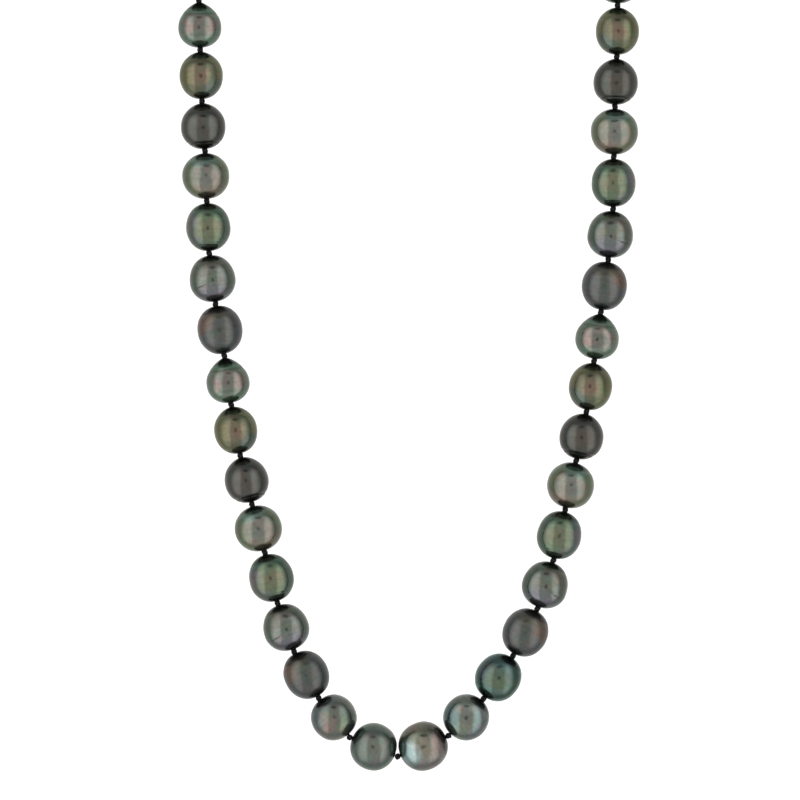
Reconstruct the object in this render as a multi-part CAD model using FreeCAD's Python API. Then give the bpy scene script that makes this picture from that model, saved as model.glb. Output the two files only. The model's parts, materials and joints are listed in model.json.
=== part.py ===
import FreeCAD, Part

import math
import os

from FreeCAD import Placement, Rotation, Vector

# A knotted strand of dark baroque pearls with a gold lobster clasp, laid open on a table.
# Millimetres. The table is z = 0 and +Z is up. The middle of the strand is at -Y and its two
# arms run towards +Y: the left arm ends in the clasp's tag, the right arm in the clasp.

# Pearls: length along the drilled hole, width across it, and how far along the hole from the
# pearl's inner end the widest place is, as a share of the length. PEARL_SCALE grades them all.
PEARL_SCALE = 1.0
PEARL_KINDS = {
    "large": (10.15, 10.00, 0.50),
    "round": (9.50, 9.75, 0.50),
    "silver": (9.10, 9.50, 0.50),
    "banded": (9.35, 9.25, 0.50),
    "teal": (9.60, 9.25, 0.48),
    "copper": (9.70, 9.15, 0.50),
    "creased": (9.37, 9.30, 0.45),
    "green": (9.60, 9.05, 0.48),
    "pale": (9.15, 9.68, 0.50),
    "charcoal": (9.15, 9.12, 0.47),
    "olive": (9.45, 8.92, 0.50),
    "drop": (9.05, 8.87, 0.43),
}

# From the middle outwards each arm starts with its own pearls and goes on with the same run.
LEFT_START = ["round", "silver"]
RIGHT_START = ["large", "banded", "teal"]
PEARL_RUN = ["copper", "creased", "green", "pale", "charcoal", "olive", "drop"]
LEFT_COUNT = 21
RIGHT_COUNT = 22

# How steeply each pearl's hole climbs from the X axis towards +Y, from the middle outwards.
# Pearls beyond the end of a list keep its last slope.
LEFT_SLOPES_DEG = [22, 51.5, 62, 71.5, 75.5, 75.5, 76.5, 79.5, 82, 80.5, 83, 87.5, 87.5, 86.5, 88.5]
RIGHT_SLOPES_DEG = [22, 46.5, 55.5, 62.5, 72, 77, 77, 78, 81.5, 82.5, 82, 84.5, 89, 89, 87.5, 89]

# Silk thread, its drilled hole and its knots. A knot sits in the mouths of two holes.
THREAD_DIAMETER = 0.70
THREAD_CLEARANCE = 0.125
KNOT_DIAMETER = 1.20
KNOT_CLEARANCE = 0.108

# End loops: silk covered by a coil of fine gold wire (bullion), bent to a teardrop.
LOOP_THREAD_DIAMETER = 0.50
BULLION_WALL = 0.15
BULLION_CLEARANCE = 0.06
LEG_CLEARANCE = 0.12
LOOP_REACH = 3.40
LOOP_DROP_DEG = 30.0
BAR_CLEARANCE = 0.35

# The tag is a flat figure of eight: its small eye is on the left loop, and its large one, the
# tag bore, is free for the clasp. The jump ring is round wire.
TAG_BORE_DIAMETER = 3.80
TAG_EYE_CLEARANCE = 0.50
TAG_WALL = 0.90
TAG_BRIDGE = 0.80
TAG_HEIGHT = 0.80
TAG_EDGE = 0.12
JUMP_DIAMETER = 4.20
JUMP_WIRE = 0.80
TABLE_GAP = 0.05

# Clasp body, in its own frame: X from its eye to its nose, Y to its lever side, Z through it.
EYE_CLEARANCE = 0.60
EYE_WALL = 0.90
EYE_THICKNESS = 1.00
EYE_DROP_DEG = 15.0
NECK_WIDTH = 2.00
NECK_THICKNESS = 1.60
CLASP_THICKNESS = 2.60
CLASP_LENGTH = 10.80
CLASP_WIDTH = 6.20
CLASP_BACK = 2.20
MOUTH_LENGTH = 7.20
MOUTH_WIDTH = 3.00
NOSE_WALL = 1.10
NOSE_LENGTH = 1.10
GATE_FLOOR = 0.45
CLASP_EDGE = 0.35
CLASP_REST_SHARE = 0.90

# Lever, in the clasp's frame, with its pin and leaf spring.
LEVER_THICKNESS = 1.40
LEVER_CLEARANCE = 0.10
NOSE_GAP = 0.30
LEVER_FLOOR = 0.65
PIVOT_X = 4.00
PIVOT_Y = 1.15
TAIL_DIAMETER = 2.00
PIN_DIAMETER = 0.80
PIN_CLEARANCE = 0.05
PIN_HEAD_DIAMETER = 1.10
PIN_HEAD = 0.12
THUMB_X = 6.40
THUMB_WIDTH = 1.10
THUMB_RISE = 0.90
THUMB_ROOT = 1.05
SPRING_THICKNESS = 0.15
SPRING_WIDTH = 1.10
SPRING_CLEARANCE = 0.06

BORE_DIAMETER = THREAD_DIAMETER + 2 * THREAD_CLEARANCE
KNOT_SEAT = KNOT_DIAMETER / 2 + KNOT_CLEARANCE
KNOT_GAP = 2 * math.sqrt(KNOT_SEAT**2 - (BORE_DIAMETER / 2) ** 2)

BULLION_BORE = LOOP_THREAD_DIAMETER + 2 * BULLION_CLEARANCE
BULLION_DIAMETER = BULLION_BORE + 2 * BULLION_WALL
TAG_BAR = math.hypot(TAG_WALL, TAG_HEIGHT) / 2
LOOP_HOLE = max(TAG_BAR, JUMP_WIRE / 2) + BAR_CLEARANCE
LOOP_RADIUS = LOOP_HOLE + BULLION_DIAMETER / 2
TAG_EYE_DIAMETER = LOOP_RADIUS + BULLION_DIAMETER / 2 - TAG_WALL / 2 + TAG_EYE_CLEARANCE
TAG_EYE_X = (TAG_WALL + TAG_EYE_DIAMETER) / 2
TAG_BORE_X = TAG_EYE_X + TAG_EYE_DIAMETER / 2 + TAG_BRIDGE + TAG_BORE_DIAMETER / 2

MOUTH_END = CLASP_BACK + CLASP_LENGTH - NOSE_WALL
SLOT_WIDTH = LEVER_THICKNESS + 2 * LEVER_CLEARANCE
SLOT_BACK = PIVOT_X - TAIL_DIAMETER / 2 - LEVER_CLEARANCE
SLOT_FLOOR = PIVOT_Y - TAIL_DIAMETER / 2 - SPRING_THICKNESS - 2 * SPRING_CLEARANCE
GATE_BACK = PIVOT_X + TAIL_DIAMETER / 2
NOSE_BACK = MOUTH_END - NOSE_LENGTH

UP = Vector(0, 0, 1)
OUT = Vector(1, 0, 0)


def pearl_size(kind):
    """Length, width and the distance from the inner end to the widest place."""
    length, width, share = PEARL_KINDS[kind]
    return PEARL_SCALE * length, PEARL_SCALE * width, PEARL_SCALE * length * share


def arm_kinds(start, count):
    """The kinds of pearl in one arm, from the middle outwards."""
    rest = count - len(start)
    return start + [PEARL_RUN[i % len(PEARL_RUN)] for i in range(rest)]


def lay_arm(kinds, slopes, side, first_height):
    """The knots of one arm, from the middle knot outwards. side is -1 for left and 1 for right.

    Each knot is as high as the mean of the pearls beside it, so every pearl lies on the table.
    """
    knots = [Vector(0, 0, first_height)]
    for i, kind in enumerate(kinds):
        length, width, _ = pearl_size(kind)
        after = kinds[min(i + 1, len(kinds) - 1)]
        height = (width + pearl_size(after)[1]) / 4
        slope = math.radians(slopes[min(i, len(slopes) - 1)])
        pitch = length + KNOT_GAP
        last = knots[-1]
        reach = math.sqrt(pitch**2 - (height - last.z) ** 2)
        x = last.x + side * reach * math.cos(slope)
        knots.append(Vector(x, last.y + reach * math.sin(slope), height))
    return knots


def lowest_point(kinds, knots):
    """How far below the table the lowest pearl of an arm would reach, as a height."""
    lows = []
    for kind, a, b in zip(kinds, knots, knots[1:]):
        length, width, widest = pearl_size(kind)
        share = (KNOT_GAP / 2 + widest) / (length + KNOT_GAP)
        lows.append(a.z + (b.z - a.z) * share - width / 2)
    return min(lows)


def oval_arc(centre, across, along, first, last):
    """The arc between two points of the ellipse with these half-sizes along X and Z."""
    tips = [centre + Vector(across, 0, 0), centre + Vector(0, 0, along)]
    if abs(along) > across:
        tips.reverse()
    oval = Part.Ellipse(tips[0], tips[1], centre)
    ends = sorted((oval.parameter(first), oval.parameter(last)))
    return Part.ArcOfEllipse(oval, ends[0], ends[1]).toShape()


def pearl(kind):
    """A drilled pearl standing on its inner end at the origin, with its hole along Z."""
    length, width, widest = pearl_size(kind)
    bore, half = BORE_DIAMETER / 2, width / 2
    centre = Vector(0, 0, widest)
    side = centre + Vector(half, 0, 0)
    rim = math.sqrt(1 - (bore / half) ** 2)
    inner = Vector(bore, 0, widest - widest * rim)
    outer = Vector(bore, 0, widest + (length - widest) * rim)
    edges = [
        oval_arc(centre, half, -widest, inner, side),
        oval_arc(centre, half, length - widest, side, outer),
        Part.makeLine(outer, inner),
    ]
    profile = Part.Face(Part.Wire(Part.__sortEdges__(edges)))
    return profile.revolve(Vector(), UP, 360)


def thread_link(kind, knot_inside):
    """The silk in one pearl, with the knot that closes its outer end and maybe its inner end."""
    length = pearl_size(kind)[0]
    inner_knot, outer_knot = -KNOT_GAP / 2, length + KNOT_GAP / 2
    start = inner_knot if knot_inside else inner_knot + KNOT_SEAT
    silk = Part.makeCylinder(THREAD_DIAMETER / 2, outer_knot - start, Vector(0, 0, start), UP)
    for height in [outer_knot] + [inner_knot] * knot_inside:
        silk = silk.fuse(Part.makeSphere(KNOT_DIAMETER / 2, Vector(0, 0, height)))
    return silk.removeSplitter()


def place_pearl(kind, inner_knot, outer_knot, knot_inside):
    """A pearl and its silk as two solids, strung between two knots."""
    along = outer_knot - inner_knot
    along.normalize()
    foot = inner_knot + along * (KNOT_GAP / 2)
    group = Part.makeCompound([pearl(kind), thread_link(kind, knot_inside)])
    group.Placement = Placement(foot, Rotation(UP, along))
    return group


def frame_at(origin, forward, up):
    """The placement with local X forward and local Z as near to up as forward allows."""
    side = up.cross(forward)
    return Placement(origin, Rotation(forward, side, forward.cross(side), "XYZ"))


def pitched(heading, drop):
    """A heading in the XY plane, tipped down by an angle in radians."""
    return heading * math.cos(drop) - UP * math.sin(drop)


def teardrop_tube(radius):
    """A rod bent from the knot round the loop and back, in local XY with X forward."""
    leg = (BULLION_DIAMETER + LEG_CLEARANCE) / 2
    centre = Vector(LOOP_REACH, 0, 0)
    start = Vector(KNOT_SEAT, leg, 0)
    back = start - centre
    angle = math.atan2(back.y, back.x) - math.acos(LOOP_RADIUS / back.Length)
    touch = centre + Vector(math.cos(angle), math.sin(angle), 0) * LOOP_RADIUS
    tip = centre + OUT * LOOP_RADIUS
    mirror = Vector(touch.x, -touch.y, 0)
    end = Vector(start.x, -start.y, 0)
    path = Part.Wire(
        [
            Part.makeLine(start, touch),
            Part.Arc(touch, tip, mirror).toShape(),
            Part.makeLine(mirror, end),
        ]
    )
    section = Part.Wire(Part.makeCircle(radius, start, touch - start))
    return path.makePipeShell([section], True, False)


def loop_silk():
    """The thread inside an end loop."""
    return teardrop_tube(LOOP_THREAD_DIAMETER / 2)


def bullion():
    """The wire sleeve over an end loop."""
    return teardrop_tube(BULLION_DIAMETER / 2).cut(teardrop_tube(BULLION_BORE / 2))


def chamfered_disc(x, radius, height, edge):
    """A flat disc on the X axis with both rims chamfered."""
    plate = Part.makeCylinder(radius, height, Vector(x, 0, -height / 2), UP)
    rims = [e for e in plate.Edges if isinstance(e.Curve, Part.Circle)]
    return plate.makeChamfer(edge, rims)


def clasp_tag():
    """The flat figure of eight that the clasp hooks into. The bar in its loop is at the origin."""
    holes = ((TAG_EYE_X, TAG_EYE_DIAMETER / 2), (TAG_BORE_X, TAG_BORE_DIAMETER / 2))
    plates = [chamfered_disc(x, radius + TAG_WALL, TAG_HEIGHT, TAG_EDGE) for x, radius in holes]
    tag = plates[0].fuse(plates[1])
    return tag.cut([disc(x, 0, radius, TAG_HEIGHT) for x, radius in holes]).removeSplitter()


def jump_ring():
    """The round wire ring between the right loop and the clasp, centred on the origin."""
    return Part.makeTorus(JUMP_DIAMETER / 2, JUMP_WIRE / 2, Vector(), Vector(0, 1, 0))


def oval_prism(centre_x, length, width, height):
    """An upright prism with an elliptical outline, centred on the XY plane."""
    tips = [Vector(centre_x + length / 2, 0, 0), Vector(centre_x, width / 2, 0)]
    oval = Part.Ellipse(tips[0], tips[1], Vector(centre_x, 0, 0)).toShape()
    oval.translate(Vector(0, 0, -height / 2))
    return Part.Face(Part.Wire(oval)).extrude(UP * height)


def block(low_x, high_x, low_y, high_y, height):
    """A block centred on the XY plane."""
    size = (high_x - low_x, high_y - low_y, height)
    return Part.makeBox(*size, Vector(low_x, low_y, -height / 2))


def disc(x, y, radius, height):
    """An upright disc centred on the XY plane."""
    return Part.makeCylinder(radius, height, Vector(x, y, -height / 2), UP)


def clasp_outline(height):
    """The oval that both the clasp's body and its lever are cut from."""
    return oval_prism(CLASP_BACK + CLASP_LENGTH / 2, CLASP_LENGTH, CLASP_WIDTH, height)


def clasp_mouth(height):
    """The space that the clasp closes round, up to the nose wall."""
    return oval_prism(MOUTH_END - MOUTH_LENGTH / 2, MOUTH_LENGTH, MOUTH_WIDTH, height)


def clasp_body():
    """The cast body: eye, neck, back bar, nose and the slot that the lever turns in."""
    tall = 2 * CLASP_THICKNESS
    body = clasp_outline(CLASP_THICKNESS)
    rims = [e for e in body.Edges if isinstance(e.Curve, Part.Ellipse)]
    body = body.makeFillet(CLASP_EDGE, rims)
    body = body.cut(clasp_mouth(tall))
    body = body.cut(block(GATE_BACK, NOSE_BACK, GATE_FLOOR, CLASP_WIDTH, tall))
    body = body.cut(block(SLOT_BACK, GATE_BACK, SLOT_FLOOR, CLASP_WIDTH, SLOT_WIDTH))
    neck_end = CLASP_BACK + NECK_WIDTH / 2
    neck = block(0, neck_end, -NECK_WIDTH / 2, NECK_WIDTH / 2, NECK_THICKNESS)
    neck = neck.cut(block(SLOT_BACK - LEVER_CLEARANCE, neck_end, -NECK_WIDTH, NECK_WIDTH, tall))
    hole = JUMP_WIRE / 2 + EYE_CLEARANCE
    body = body.fuse([neck, disc(0, 0, hole + EYE_WALL, EYE_THICKNESS)])
    body = body.cut([disc(0, 0, hole, tall), disc(PIVOT_X, PIVOT_Y, PIN_DIAMETER / 2, tall)])
    return body.removeSplitter()


def clasp_lever():
    """The sprung lever that closes the mouth, with its round tail and thumb tab."""
    tall = 2 * CLASP_THICKNESS
    arm = clasp_outline(LEVER_THICKNESS).cut(clasp_mouth(tall))
    arm = arm.common(block(PIVOT_X, NOSE_BACK - NOSE_GAP, LEVER_FLOOR, CLASP_WIDTH, tall))
    tail = disc(PIVOT_X, PIVOT_Y, TAIL_DIAMETER / 2, LEVER_THICKNESS)
    thumb_low, thumb_high = CLASP_WIDTH / 2 - THUMB_ROOT, CLASP_WIDTH / 2 + THUMB_RISE
    sides = (THUMB_X - THUMB_WIDTH / 2, THUMB_X + THUMB_WIDTH / 2)
    thumb = block(sides[0], sides[1], thumb_low, thumb_high, LEVER_THICKNESS)
    tip = disc(THUMB_X, thumb_high, THUMB_WIDTH / 2, LEVER_THICKNESS)
    lever = arm.fuse([tail, thumb, tip])
    pin_hole = disc(PIVOT_X, PIVOT_Y, PIN_DIAMETER / 2 + PIN_CLEARANCE, tall)
    return lever.cut(pin_hole).removeSplitter()


def clasp_pin():
    """The riveted pin, with a low head on each face of the body."""
    shank = disc(PIVOT_X, PIVOT_Y, PIN_DIAMETER / 2 - PIN_CLEARANCE / 2, CLASP_THICKNESS)
    heads = []
    for face in (-1, 1):
        middle = face * (CLASP_THICKNESS + PIN_HEAD) / 2
        head = disc(PIVOT_X, PIVOT_Y, PIN_HEAD_DIAMETER / 2, PIN_HEAD)
        head.translate(UP * middle)
        heads.append(head)
    return shank.fuse(heads).removeSplitter()


def clasp_spring():
    """The leaf on the floor of the slot, which presses up under the lever's tail."""
    low = SLOT_FLOOR + SPRING_CLEARANCE
    high = low + SPRING_THICKNESS
    return block(SLOT_BACK + LEVER_CLEARANCE, GATE_BACK, low, high, SPRING_WIDTH)


def left_end(knot, heading):
    """Joint places and shapes beyond the left arm's last knot. The tag's far end is on the table."""
    forward = pitched(heading, math.radians(LOOP_DROP_DEG))
    bar = knot + forward * LOOP_REACH
    across = TAG_BORE_X + TAG_BORE_DIAMETER / 2 + TAG_WALL
    slant = math.hypot(across, TAG_HEIGHT / 2)
    tilt = math.asin((bar.z - TABLE_GAP) / slant) - math.atan2(TAG_HEIGHT / 2, across)
    tag_forward = pitched(heading, tilt)
    side = UP.cross(heading)
    loop = frame_at(knot, forward, side)
    tag = frame_at(bar, tag_forward, UP)
    shapes = {
        "thread_loop_left": (loop_silk(), loop),
        "bullion_left": (bullion(), loop),
        "clasp_tag": (clasp_tag(), tag),
    }
    places = {
        "loop": knot,
        "tag": bar,
        "tag_bore": bar + tag_forward * TAG_BORE_X,
        "tag_axis": tag.Rotation.multVec(UP),
        "side": side,
    }
    return places, shapes


def right_end(knot, heading):
    """Joint places and shapes beyond the right arm's last knot. The clasp's nose lies on the table."""
    mean = JUMP_DIAMETER / 2
    height = mean + JUMP_WIRE / 2 + TABLE_GAP
    drop = math.asin((knot.z - height) / (LOOP_REACH + mean))
    forward = pitched(heading, drop)
    middle = knot + forward * (LOOP_REACH + mean)
    eye = middle + pitched(heading, math.radians(EYE_DROP_DEG)) * mean
    reach = CLASP_BACK + CLASP_LENGTH * CLASP_REST_SHARE
    half = CLASP_THICKNESS / 2 + PIN_HEAD
    tilt = math.asin((eye.z - TABLE_GAP) / math.hypot(reach, half)) - math.atan2(half, reach)
    side = UP.cross(heading)
    loop = frame_at(knot, forward, UP)
    clasp = frame_at(eye, pitched(heading, tilt), UP)
    shapes = {
        "thread_loop_right": (loop_silk(), loop),
        "bullion_right": (bullion(), loop),
        "jump_ring": (jump_ring(), frame_at(middle, forward, UP)),
        "clasp_body": (clasp_body(), clasp),
        "clasp_lever": (clasp_lever(), clasp),
        "clasp_pin": (clasp_pin(), clasp),
        "clasp_spring": (clasp_spring(), clasp),
    }
    places = {
        "loop": knot,
        "ring": knot + forward * LOOP_REACH,
        "ring_axis": frame_at(knot, forward, UP).Rotation.multVec(UP),
        "clasp": middle,
        "lever": clasp.multVec(Vector(PIVOT_X, PIVOT_Y, 0)),
        "lever_axis": clasp.Rotation.multVec(UP),
        "side": side,
    }
    return places, shapes


def put(shape, placement):
    """A copy of a shape at a placement."""
    placed = shape.copy()
    placed.Placement = placement.multiply(placed.Placement)
    return placed


left_kinds = arm_kinds(LEFT_START, LEFT_COUNT)
right_kinds = arm_kinds(RIGHT_START, RIGHT_COUNT)
middle_height = (pearl_size(left_kinds[0])[1] + pearl_size(right_kinds[0])[1]) / 4
left_knots = lay_arm(left_kinds, LEFT_SLOPES_DEG, -1, middle_height)
right_knots = lay_arm(right_kinds, RIGHT_SLOPES_DEG, 1, middle_height)
low = min(lowest_point(left_kinds, left_knots), lowest_point(right_kinds, right_knots))
left_knots = [k - UP * low for k in left_knots]
right_knots = [k - UP * low for k in right_knots]

pieces = {}
for name, kinds, knots in (("left", left_kinds, left_knots), ("right", right_kinds, right_knots)):
    for i, kind in enumerate(kinds):
        is_middle = name == "right" and i == 0
        strung = place_pearl(kind, knots[i], knots[i + 1], is_middle)
        pieces[f"pearl_{name}_{i + 1:02d}"] = strung


def end_heading(knots):
    """The level direction in which an arm ends."""
    along = knots[-1] - knots[-2]
    along.z = 0
    return along.normalize()


left_places, left_shapes = left_end(left_knots[-1], end_heading(left_knots))
right_places, right_shapes = right_end(right_knots[-1], end_heading(right_knots))
for node, (shape, placement) in (left_shapes | right_shapes).items():
    pieces[node] = put(shape, placement)

# The origin is on the table, under the middle of the whole strand's box.
box = Part.makeCompound(list(pieces.values())).optimalBoundingBox(False)
shift = Vector(-(box.XMin + box.XMax) / 2, -(box.YMin + box.YMax) / 2, -box.ZMin)

os.makedirs("parts", exist_ok=True)
for node, shape in pieces.items():
    moved = shape.copy()
    moved.translate(shift)
    moved.exportStep(f"parts/{node}.step")

print(f"{len(pieces)} nodes, knot gap {KNOT_GAP:.3f} mm")
print(f"box {box.XLength:.2f} x {box.YLength:.2f} x {box.ZLength:.2f} mm")
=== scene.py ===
import json
import math

import bpy
import numpy as np
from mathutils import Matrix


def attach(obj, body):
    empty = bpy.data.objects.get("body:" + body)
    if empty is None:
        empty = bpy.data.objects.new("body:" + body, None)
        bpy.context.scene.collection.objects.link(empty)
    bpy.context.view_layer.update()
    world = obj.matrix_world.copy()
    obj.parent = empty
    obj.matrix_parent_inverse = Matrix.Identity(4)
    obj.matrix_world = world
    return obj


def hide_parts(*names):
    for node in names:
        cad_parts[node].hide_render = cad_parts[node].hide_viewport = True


# A knotted strand of dark baroque pearls. Shapes are worked out in millimetres and made in metres.
MM = 0.001

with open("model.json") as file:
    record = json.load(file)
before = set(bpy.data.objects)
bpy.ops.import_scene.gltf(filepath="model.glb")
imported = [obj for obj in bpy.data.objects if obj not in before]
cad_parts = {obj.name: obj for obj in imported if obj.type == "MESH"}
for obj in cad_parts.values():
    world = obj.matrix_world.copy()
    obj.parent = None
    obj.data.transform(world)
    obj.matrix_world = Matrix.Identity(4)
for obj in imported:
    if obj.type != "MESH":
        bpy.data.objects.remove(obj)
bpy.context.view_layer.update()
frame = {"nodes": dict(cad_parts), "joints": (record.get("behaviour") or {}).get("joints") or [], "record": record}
record = frame["record"]
joints = {j["name"]: j for j in frame["joints"]}
slots = {s["node"]: s["material_slot"] for s in record["subparts"]}
bodies = record["behaviour"]["bodies"]
body_of_node = {node: body for body, members in bodies.items() for node in members}

UP = np.array([0.0, 0.0, 1.0])

# ---------------------------------------------------------------- where things are

# From one pearl to the next in the CAD model, where their knot is.
KNOT_GAP = 1.05
# A pearl's widest place is where its points reach this share of its largest radius.
WIDEST_SHARE = 0.999


def unit(v):
    return v / np.linalg.norm(v)


def joint_point(joint):
    """A joint's place in millimetres."""
    return np.array(joint["pos_m"]) / MM


entry = {j["child"]: joint_point(j) for j in joints.values()}


def arm_knots(side):
    """The places of one arm's knots, from the middle one outwards."""
    knots = [entry["left_01"]]
    while f"{side}_{len(knots) + 1:02d}" in entry:
        knots.append(entry[f"{side}_{len(knots) + 1:02d}"])
    return knots + [entry[f"end_{side}"]]


def node_points(node):
    """The points of a CAD node's mesh, in millimetres."""
    data = frame["nodes"][node].data
    co = np.zeros(len(data.vertices) * 3)
    data.vertices.foreach_get("co", co)
    return co.reshape(-1, 3) / MM


def pearl_size(node, a, b):
    """Length, half width and the widest place of a CAD pearl strung from knot a to knot b."""
    along = unit(b - a)
    rel = node_points(node) - a
    z = rel @ along
    r = np.linalg.norm(rel - np.outer(z, along), axis=1)
    widest = z[r > WIDEST_SHARE * r.max()].mean() - KNOT_GAP / 2
    return np.linalg.norm(b - a) - KNOT_GAP, r.max(), widest


# ---------------------------------------------------------------- meshes


def make_object(name, points, faces, smooth=True, sharp_rings=(), attributes=None):
    """An object with its place in its mesh. Points are in millimetres."""
    mesh = bpy.data.meshes.new(name)
    mesh.from_pydata((np.asarray(points) * MM).tolist(), [], [list(map(int, f)) for f in faces])
    mesh.validate()
    for key, values in (attributes or {}).items():
        values = np.asarray(values, np.float32)
        kind = "FLOAT_VECTOR" if values.ndim == 2 else "FLOAT"
        field = "vector" if values.ndim == 2 else "value"
        mesh.attributes.new(key, kind, "POINT").data.foreach_set(field, values.ravel())
    mesh.polygons.foreach_set("use_smooth", [smooth] * len(mesh.polygons))
    if sharp_rings:
        rings = [set(r) for r in sharp_rings]
        for e in mesh.edges:
            if any(e.vertices[0] in r and e.vertices[1] in r for r in rings):
                e.use_edge_sharp = True
    mesh.update()
    obj = bpy.data.objects.new(name, mesh)
    bpy.context.scene.collection.objects.link(obj)
    return obj


def ring_faces(rings, around, closed=False, flip=False):
    """Quads between rows of points laid one after another."""
    faces = []
    for i in range(rings if closed else rings - 1):
        p, q = i * around, (i + 1) % rings * around
        for j in range(around):
            k = (j + 1) % around
            f = (p + j, p + k, q + k, q + j)
            faces.append(f[::-1] if flip else f)
    return faces


def directions(path, closed=False):
    """The direction of a line at each of its points."""
    steps = np.roll(path, -1, 0) - np.roll(path, 1, 0) if closed else np.gradient(path, axis=0)
    return steps / np.linalg.norm(steps, axis=1)[:, None]


def carried(side, tangents):
    """Two directions square to a line and to each other, carried along it from a first one."""
    sides = []
    for t in tangents:
        side = unit(side - t * (side @ t))
        sides.append(side)
    return np.array(sides), np.cross(tangents, sides)


def tube(path, radius, around, closed=False):
    """Points and faces of a round tube along a path."""
    tangents = directions(path, closed)
    upright = abs(tangents[0][2]) >= 0.9
    first = np.cross(tangents[0], np.array([1.0, 0.0, 0.0]) if upright else UP)
    sides, overs = carried(first, tangents)
    angles = np.linspace(0, 2 * math.pi, around, endpoint=False)[:, None]
    circles = np.cos(angles) * sides[:, None] + np.sin(angles) * overs[:, None]
    points = (path[:, None] + radius * circles).reshape(-1, 3)
    faces = ring_faces(len(path), around, closed)
    if not closed:
        faces += [tuple(range(around))[::-1], tuple(range(len(points) - around, len(points)))]
    return points, faces


def join(parts):
    """Several (points, faces) as one."""
    points, faces, start = [], [], 0
    for p, f in parts:
        points.append(p)
        faces += [tuple(i + start for i in face) for face in f]
        start += len(p)
    return np.concatenate(points), faces


def placed(points, faces, origin, x, y, z):
    """Points and faces moved to these axes. Mirrored axes turn the faces round."""
    if np.cross(x, y) @ z < 0:
        faces = [f[::-1] for f in faces]
    return origin + points @ np.stack([x, y, z]), faces


# ---------------------------------------------------------------- pearls

# The hole's radius in the nacre.
BORE = 0.475
# The nacre reaches over its knots by this much, and its hole opens out to this radius, narrowing
# to the hole over this length.
REACH = 0.12
MOUTH = 0.56
LIP = 0.10
# How full the pearls' ends are: 2 is an ellipse.
FULLNESS = 2.10

# What sets each kind's surface apart. Lengths along the hole are shares of the pearl's length,
# from its inner end, and turns round the hole are degrees from the top towards the strand's
# outer side. lobes: how far from round, twice and three times round. ring: (place, depth mm,
# width mm, tilt mm). crease: (place, turn, depth mm, width mm, spread of turn). cone: how far the
# outer shoulder is drawn in to a cone.
SHAPES = {
    "large": {"lobes": (0.010, 0.006), "ring": [(0.78, 0.020, 0.30, 0.15)], "cone": 0.0},
    "round": {"lobes": (0.006, 0.004), "ring": [], "cone": 0.0},
    "silver": {"lobes": (0.018, 0.010), "ring": [(0.86, 0.020, 0.25, 0.10)], "cone": 0.0},
    "banded": {"lobes": (0.016, 0.008), "ring": [(0.20, 0.018, 0.30, 0.10)], "cone": 0.1},
    "teal": {
        "lobes": (0.008, 0.006),
        "ring": [(0.17, 0.030, 0.18, 0.20), (0.24, 0.020, 0.12, 0.20)],
        "cone": 0.0,
    },
    "copper": {"lobes": (0.010, 0.010), "ring": [(0.84, 0.020, 0.25, 0.10)], "cone": 0.0},
    "creased": {
        "lobes": (0.012, 0.008),
        "ring": [(0.86, 0.015, 0.25, 0.10)],
        "crease": [(0.350, 33, 0.13, 0.11, 18), (0.350, -5, 0.040, 0.09, 60)],
        "cone": 0.0,
    },
    "green": {
        "lobes": (0.012, 0.006),
        "ring": [
            (0.115, 0.050, 0.13, 0.10),
            (0.175, 0.045, 0.11, 0.16),
            (0.235, 0.025, 0.10, 0.20),
        ],
        "cone": 0.0,
    },
    "pale": {"lobes": (0.006, 0.006), "ring": [(0.88, 0.030, 0.25, 0.10)], "cone": 0.1},
    "charcoal": {
        "lobes": (0.012, 0.008),
        "ring": [(0.125, 0.110, 0.17, 0.12), (0.055, 0.05, 0.15, 0.05)],
        "cone": 0.25,
    },
    "olive": {"lobes": (0.010, 0.006), "ring": [(0.90, 0.040, 0.20, 0.05)], "cone": 0.25},
    "drop": {
        "lobes": (0.008, 0.004),
        "ring": [(0.735, 0.050, 0.34, 0.05), (0.83, 0.020, 0.15, 0.06)],
        "cone": 0.68,
    },
}

# The mesh's points round the hole, and its rows from one mouth of the hole to the other.
AROUND = 72
ALONG = 64
# How late the cone draws in, and how slowly the lobes die out towards the ends.
CONE_POWER = 2.3
SWELL_POWER = 1.5
# How much of its twofold lobes a pearl leans to one side, and how much of its highest lobe it is
# drawn in by, to stay in its space.
LEAN = 0.5
DRAWN_IN = 0.3
# How quickly rings and waves come in from the ends.
RING_RISE = 3
WAVE_RISE = 2
# How far a crease bows along the hole, and how many bows it would have in a full turn.
BOW = 0.25
BOW_RATE = 3
# Slow waves all over: how many, how many radians over half a pearl's width, and their height.
WAVES = 9
WAVE_RATE = (5.0, 13.0)
WAVE_HEIGHT = 0.006
# Shallow pits: how many (under the second number), how wide, how deep, and how many rows at each
# end have none.
PITS = (5, 10)
PIT_WIDTH = (0.25, 0.55)
PIT_DEPTH = (0.008, 0.030)
PIT_MARGIN = 6


def profile(kind, length, half, widest, reaches):
    """Each row's place along the hole, radius, and angle from the inner mouth to the outer one."""
    start = math.asin((MOUTH / half) ** (FULLNESS / 2))
    alpha = np.linspace(start, math.pi - start, ALONG)[:, None]
    reach = np.where(alpha < math.pi / 2, widest + reaches[0], length - widest + reaches[1])
    z = widest - reach * np.sign(np.cos(alpha)) * np.abs(np.cos(alpha)) ** (2 / FULLNESS)
    r = half * np.sin(alpha) ** (2 / FULLNESS)
    u = np.clip((z - widest) / (length - widest), 0, 1)
    cone = MOUTH + (half - MOUTH) * (1 - u**CONE_POWER)
    return z, np.where(u > 0, r + SHAPES[kind]["cone"] * (np.minimum(cone, r) - r), r), alpha


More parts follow.
